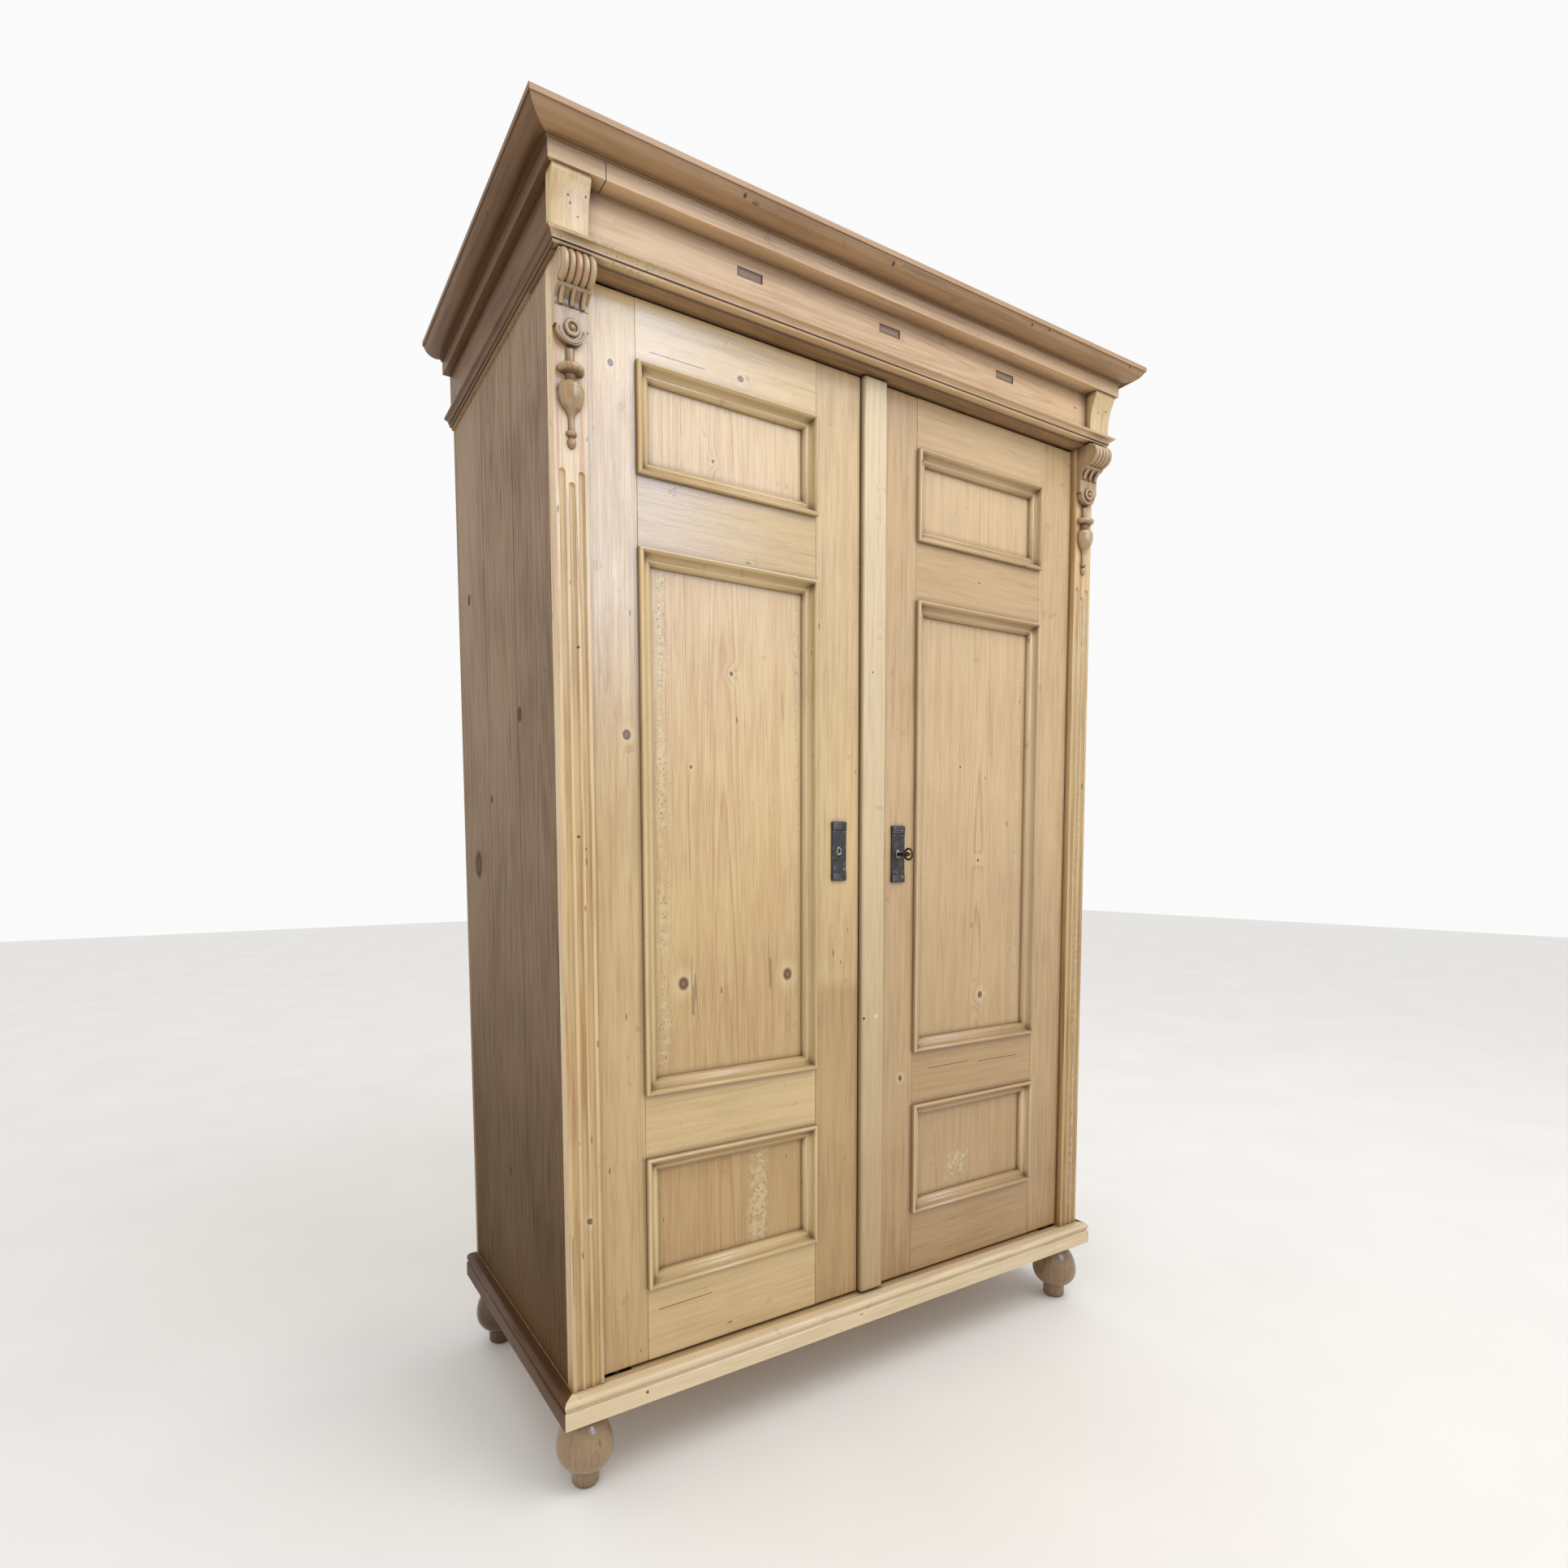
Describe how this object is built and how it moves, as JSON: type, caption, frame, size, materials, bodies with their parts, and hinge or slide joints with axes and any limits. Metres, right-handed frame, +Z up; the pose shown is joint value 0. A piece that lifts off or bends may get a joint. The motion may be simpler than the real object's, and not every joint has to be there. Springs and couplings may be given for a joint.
{
  "type": "wardrobe",
  "caption": "Two-door knock-down pine wardrobe with moulded cornice and base, fluted pilasters, carved consoles, turned feet, hat shelf, hanging rail, rim lock with key and slide bolts",
  "frame": {"origin": "on the floor, at the middle of the whole width and depth", "axes": "+X right seen from the front, +Y to the back, +Z up; the doors face -Y"},
  "size_m": [1.28, 0.626, 1.9525],
  "materials": {
    "pine_front": "old stripped pine, waxed, honey coloured",
    "pine_side": "old pine, waxed, darker brown",
    "pine_raw": "old planed pine without wax, inside and behind",
    "iron_plate": "blackened, worn lighter round the keyhole",
    "iron_fittings": "dull oxidised iron",
    "key_steel": "worn dull steel"
  },
  "bodies": {
    "carcase": {"foot_front_left": "pine_front", "foot_front_right": "pine_front", "foot_back_left": "pine_front", "foot_back_right": "pine_front", "corner_blocks": "pine_raw", "plinth_front": "pine_front", "plinth_left": "pine_side", "plinth_right": "pine_side", "plinth_back": "pine_raw", "floor_bearers": "pine_raw", "floor_boards": "pine_raw", "pilaster_left": "pine_front", "pilaster_right": "pine_front", "side_left": "pine_side", "side_right": "pine_side", "back_boards": "pine_raw", "hat_shelf": "pine_raw", "shelf_cleats": "pine_raw", "hanging_rail": "pine_raw", "rail_cups": "pine_raw", "soffit_board": "pine_front", "ceiling_boards": "pine_raw", "door_stops": "pine_raw", "frieze_front": "pine_front", "frieze_frame": "pine_raw", "frieze_blocks": "pine_front", "crown_boards": "pine_raw", "astragal": "pine_front", "fascia": "pine_front", "cornice_front": "pine_front", "cornice_left": "pine_side", "cornice_right": "pine_side", "console_left": "pine_front", "console_right": "pine_front", "rosettes": "pine_front", "pendant_left": "pine_front", "pendant_right": "pine_front", "pivot_sockets": "iron_fittings"},
    "left_door": {"left_door_hinge_stile": "pine_front", "left_door_meeting_stile": "pine_front", "left_door_rails": "pine_front", "left_door_panels": "pine_front", "left_door_mouldings": "pine_front", "left_door_pivots": "iron_fittings", "left_escutcheon": "iron_plate", "bolt_guides": "iron_fittings", "lock_keeper": "iron_fittings"},
    "right_door": {"right_door_hinge_stile": "pine_front", "right_door_meeting_stile": "pine_front", "right_door_rails": "pine_front", "right_door_panels": "pine_front", "right_door_mouldings": "pine_front", "right_door_pivots": "iron_fittings", "right_escutcheon": "iron_plate", "cover_strip": "pine_front", "lock_case": "iron_fittings"},
    "key": {"key": "key_steel"},
    "lock_bolt": {"lock_bolt": "iron_fittings"},
    "top_slide_bolt": {"top_slide_bolt": "iron_fittings"},
    "bottom_slide_bolt": {"bottom_slide_bolt": "iron_fittings"}
  },
  "joints": [
    {"name": "left_door_hinge", "type": "hinge", "parent": "carcase", "child": "left_door", "pos_m": [-0.508, -0.213, 0.99], "axis": [0, 0, -1], "range_deg": [0, 100]},
    {"name": "right_door_hinge", "type": "hinge", "parent": "carcase", "child": "right_door", "pos_m": [0.508, -0.213, 0.99], "axis": [0, 0, 1], "range_deg": [0, 100]},
    {"name": "key_turn", "type": "hinge", "parent": "right_door", "child": "key", "pos_m": [0.067, -0.2, 0.981], "axis": [0, -1, 0], "range_deg": [0, 90]},
    {"name": "lock_bolt_throw", "type": "slide", "parent": "right_door", "child": "lock_bolt", "axis": [-1, 0, 0], "range_m": [0, 0.012]},
    {"name": "top_bolt_slide", "type": "slide", "parent": "left_door", "child": "top_slide_bolt", "axis": [0, 0, 1], "range_m": [0, 0.014]},
    {"name": "bottom_bolt_slide", "type": "slide", "parent": "left_door", "child": "bottom_slide_bolt", "axis": [0, 0, -1], "range_m": [0, 0.014]}
  ],
  "couplings": [
    {"joint": "key_turn", "follows": "lock_bolt_throw", "rad_per_m": 130.9}
  ]
}
